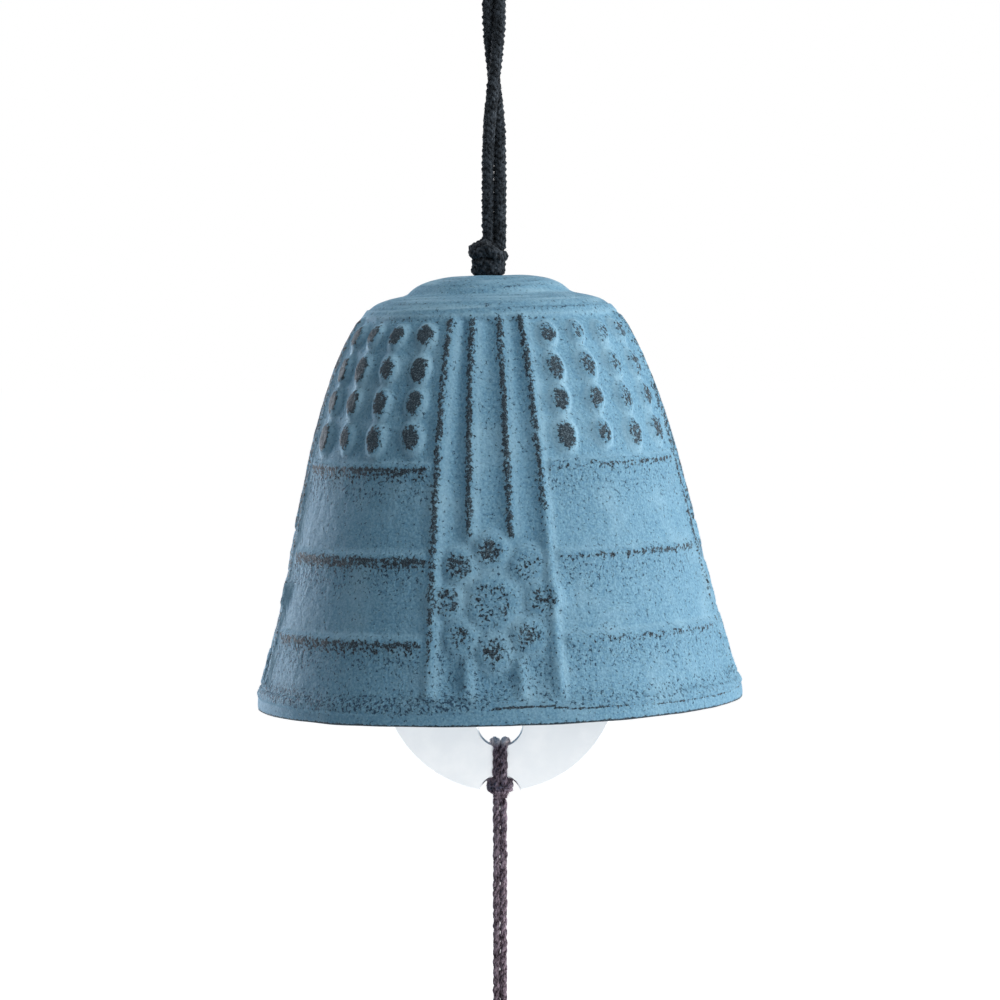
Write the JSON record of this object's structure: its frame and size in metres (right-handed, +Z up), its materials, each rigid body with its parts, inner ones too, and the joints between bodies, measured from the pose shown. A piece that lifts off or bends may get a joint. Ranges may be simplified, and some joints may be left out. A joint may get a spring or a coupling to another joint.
{
  "type": "wind bell",
  "caption": "Cast-iron wind bell on a doubled cord, with a thin disc clapper inside and a paper strip below that catches the wind.",
  "frame": {"origin": "inside top of the hanging loop, where a hook bears", "axes": "+Z up along the hanging cord, -Y towards the viewer of the front, +X to that viewer's right"},
  "size_m": [0.065, 0.065, 0.2734],
  "materials": {
    "blue_iron": "thin blue paint, worn to dark iron on the raised pattern",
    "black_cord": "matte braided cotton",
    "brown_string": "matte twisted cotton",
    "bare_aluminium": "satin, rolled sheet",
    "strip_paper": "stiff matte paper"
  },
  "bodies": {
    "hanger": {"hanging_loop": "black_cord", "loop_knot": "black_cord"},
    "hanging_cord": {"hanging_strand_left": "black_cord", "hanging_strand_right": "black_cord"},
    "crown_tie": {"crown_knot": "black_cord", "throat_cord": "black_cord", "retaining_knot": "black_cord"},
    "bell": {"bell": "blue_iron"},
    "clapper_eye": {"clapper_eye": "black_cord"},
    "clapper": {"clapper_string": "brown_string", "upper_hitch": "brown_string", "clapper_plate": "bare_aluminium", "lower_hitch": "brown_string"},
    "tail": {"tail_string_left": "brown_string", "tail_string_right": "brown_string"},
    "strip_tie": {"strip_knot": "brown_string", "strip_loop": "brown_string"},
    "wind_strip": {"wind_strip": "strip_paper"}
  },
  "joints": [
    {"name": "cord_sway", "type": "hinge", "parent": "hanger", "child": "hanging_cord", "pos_m": [0, 0, -0.0205], "axis": [0, 1, 0], "range_deg": [-30, 30]},
    {"name": "bell_rock", "type": "hinge", "parent": "hanging_cord", "child": "crown_tie", "pos_m": [-0.00079, 0, -0.05862], "axis": [1, 0, 0], "range_deg": [-25, 25]},
    {"name": "bell_turn", "type": "hinge", "parent": "crown_tie", "child": "bell", "pos_m": [-0.00079, 0, -0.06122], "axis": [-0.0279, 0, 0.9996], "continuous": true},
    {"name": "clapper_sway", "type": "hinge", "parent": "crown_tie", "child": "clapper_eye", "pos_m": [0, 0, -0.06732], "axis": [0, 1, 0], "range_deg": [-12.5, 12.5]},
    {"name": "clapper_rock", "type": "hinge", "parent": "clapper_eye", "child": "clapper", "pos_m": [0.0008, 0, -0.07367], "axis": [1, 0, 0], "range_deg": [-12.5, 12.5]},
    {"name": "tail_swing", "type": "hinge", "parent": "clapper", "child": "tail", "pos_m": [0.0008, -0.001, -0.13025], "axis": [1, 0, 0], "range_deg": [-40, 40]},
    {"name": "strip_turn", "type": "hinge", "parent": "tail", "child": "strip_tie", "pos_m": [0.0008, -0.001, -0.164], "axis": [0, 0, 1], "continuous": true},
    {"name": "strip_sway", "type": "hinge", "parent": "strip_tie", "child": "wind_strip", "pos_m": [0.0008, -0.001, -0.171], "axis": [0, 1, 0], "range_deg": [-30, 30]}
  ]
}
